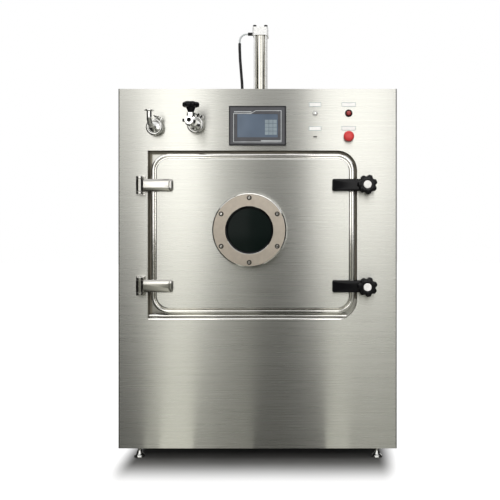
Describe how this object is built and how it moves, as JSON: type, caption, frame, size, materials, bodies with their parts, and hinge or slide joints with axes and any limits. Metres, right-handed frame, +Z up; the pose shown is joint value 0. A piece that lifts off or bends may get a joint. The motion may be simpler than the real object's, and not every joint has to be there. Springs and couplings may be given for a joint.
{
  "type": "freeze dryer",
  "caption": "Floor-standing pilot freeze dryer: stainless cabinet with a clamped sight-glass door, touch panel, process valves, hanging shelves and a stoppering ram cylinder on the roof.",
  "frame": {"origin": "centre of the object's box, on the floor under the levelling feet", "axes": "+X to the right seen from the front, -Y out of the door, +Z up"},
  "size_m": [1.06, 1.174, 1.7435],
  "materials": {
    "frame_paint": "grey powder coat on square tube",
    "brushed_stainless": "fine horizontal brush lines",
    "polished_stainless": "polished cast or turned stainless",
    "foot_chrome": "bright plating",
    "chamber_stainless": "smooth sanitary stainless",
    "rod_chrome": "ground and hard plated",
    "cap_aluminium": "anodised die casting",
    "dark_steel": "blackened steel",
    "black_plastic": "moulded, fine grain",
    "knob_plastic": "moulded, half gloss",
    "cap_white": "moulded",
    "hose_clear": "translucent polyurethane",
    "gasket_rubber": "smooth silicone",
    "flange_satin": "satin turned face",
    "sight_glass": "dark tempered glass",
    "bezel_grey": "moulded, fine grain",
    "screen_glass": "display behind glass",
    "lamp_red": "translucent dark red lens",
    "stop_red": "moulded, gloss",
    "machine_black": "black machine enamel",
    "fin_aluminium": "thin plate fins",
    "pump_blue": "blue machine enamel"
  },
  "bodies": {
    "cabinet": {"base_frame": "frame_paint", "corner_posts": "frame_paint", "frame_rails": "frame_paint", "levelling_feet": "foot_chrome", "front_panel": "brushed_stainless", "clamp_bosses": "brushed_stainless", "side_panels": "brushed_stainless", "rear_panel": "brushed_stainless", "roof_panel": "brushed_stainless", "chamber_shell": "chamber_stainless", "guide_rods": "rod_chrome", "shelf_fixed": "chamber_stainless", "cylinder_yoke": "chamber_stainless", "cylinder_barrel": "polished_stainless", "cylinder_caps": "cap_aluminium", "tie_rods": "dark_steel", "air_fitting": "black_plastic", "air_hose": "hose_clear", "hose_sleeve": "black_plastic", "cable_glands": "black_plastic", "hinge_brackets": "polished_stainless", "hmi_panel": "bezel_grey", "hmi_screen": "screen_glass", "button_bezel": "polished_stainless", "data_socket": "black_plastic", "indicator_lamp": "lamp_red", "stop_collar": "black_plastic", "panel_ferrules": "polished_stainless", "tube_clamps": "polished_stainless", "port_elbow": "polished_stainless", "valve_body": "polished_stainless", "compressor": "machine_black", "finned_condenser": "fin_aluminium", "fan_shroud": "dark_steel", "vacuum_pump": "pump_blue", "cold_trap": "chamber_stainless"},
    "door": {"door_skin": "brushed_stainless", "door_liner": "chamber_stainless", "door_gasket": "gasket_rubber", "sight_flange": "flange_satin", "sight_glass": "sight_glass", "sight_screws": "polished_stainless", "hinge_arms": "polished_stainless", "clamp_arms": "black_plastic"},
    "clamp_stud_upper": {"clamp_washer_upper": "polished_stainless"},
    "clamp_stud_lower": {"clamp_washer_lower": "polished_stainless"},
    "clamp_knob_upper": {"star_knob_upper": "knob_plastic", "knob_cap_upper": "cap_white"},
    "clamp_knob_lower": {"star_knob_lower": "knob_plastic", "knob_cap_lower": "cap_white"},
    "ram": {"ram_rod": "rod_chrome", "pressure_plate": "chamber_stainless"},
    "upper_shelf": {"shelf_upper": "chamber_stainless"},
    "middle_shelf": {"shelf_middle": "chamber_stainless"},
    "lower_shelf": {"shelf_lower": "chamber_stainless"},
    "button": {"push_button": "polished_stainless"},
    "stop_slide": {"stop_plunger": "black_plastic"},
    "stop_mushroom": {"stop_head": "stop_red"},
    "valve_wheel": {"valve_handwheel": "knob_plastic"},
    "condenser_fan": {"fan": "black_plastic"}
  },
  "joints": [
    {"name": "door_hinge", "type": "hinge", "parent": "cabinet", "child": "door", "pos_m": [-0.444, -0.456, 0.859], "axis": [0, 0, -1], "range_deg": [0, 110]},
    {"name": "clamp_advance_upper", "type": "slide", "parent": "door", "child": "clamp_stud_upper", "axis": [0, -1, 0], "range_m": [0, 0.02]},
    {"name": "clamp_turn_upper", "type": "hinge", "parent": "clamp_stud_upper", "child": "clamp_knob_upper", "pos_m": [0.415, -0.497, 1.042], "axis": [0, -1, 0], "range_deg": [0, 1805]},
    {"name": "clamp_advance_lower", "type": "slide", "parent": "door", "child": "clamp_stud_lower", "axis": [0, -1, 0], "range_m": [0, 0.02]},
    {"name": "clamp_turn_lower", "type": "hinge", "parent": "clamp_stud_lower", "child": "clamp_knob_lower", "pos_m": [0.415, -0.497, 0.66], "axis": [0, -1, 0], "range_deg": [0, 1805]},
    {"name": "ram_press", "type": "slide", "parent": "cabinet", "child": "ram", "axis": [0, 0, -1], "range_m": [0, 0.14]},
    {"name": "upper_shelf_press", "type": "slide", "parent": "cabinet", "child": "upper_shelf", "axis": [0, 0, -1], "range_m": [0, 0.1055]},
    {"name": "middle_shelf_press", "type": "slide", "parent": "cabinet", "child": "middle_shelf", "axis": [0, 0, -1], "range_m": [0, 0.0705]},
    {"name": "lower_shelf_press", "type": "slide", "parent": "cabinet", "child": "lower_shelf", "axis": [0, 0, -1], "range_m": [0, 0.0355]},
    {"name": "button_press", "type": "slide", "parent": "cabinet", "child": "button", "axis": [0, 1, 0], "range_m": [0, 0.003], "stiffness_N_per_m": 600, "springref_m": -0.001},
    {"name": "stop_press", "type": "slide", "parent": "cabinet", "child": "stop_slide", "axis": [0, 1, 0], "range_m": [0, 0.005]},
    {"name": "stop_release", "type": "hinge", "parent": "stop_slide", "child": "stop_mushroom", "pos_m": [0.347, -0.457, 1.227], "axis": [0, 1, 0], "range_deg": [0, 30], "stiffness_Nm_per_rad": 0.2},
    {"name": "valve_turn", "type": "hinge", "parent": "cabinet", "child": "valve_wheel", "pos_m": [-0.233, -0.549, 1.329], "axis": [0, 0, 1], "range_deg": [0, 720]},
    {"name": "fan_spin", "type": "hinge", "parent": "cabinet", "child": "condenser_fan", "pos_m": [-0.18, 0.503, 0.312], "axis": [0, 1, 0], "continuous": true}
  ],
  "couplings": [
    {"joint": "clamp_turn_upper", "follows": "clamp_advance_upper", "rad_per_m": 1570.8},
    {"joint": "clamp_turn_lower", "follows": "clamp_advance_lower", "rad_per_m": 1570.8},
    {"joint": "upper_shelf_press", "follows": "ram_press", "ratio": 0.75},
    {"joint": "middle_shelf_press", "follows": "ram_press", "ratio": 0.5},
    {"joint": "lower_shelf_press", "follows": "ram_press", "ratio": 0.25}
  ]
}
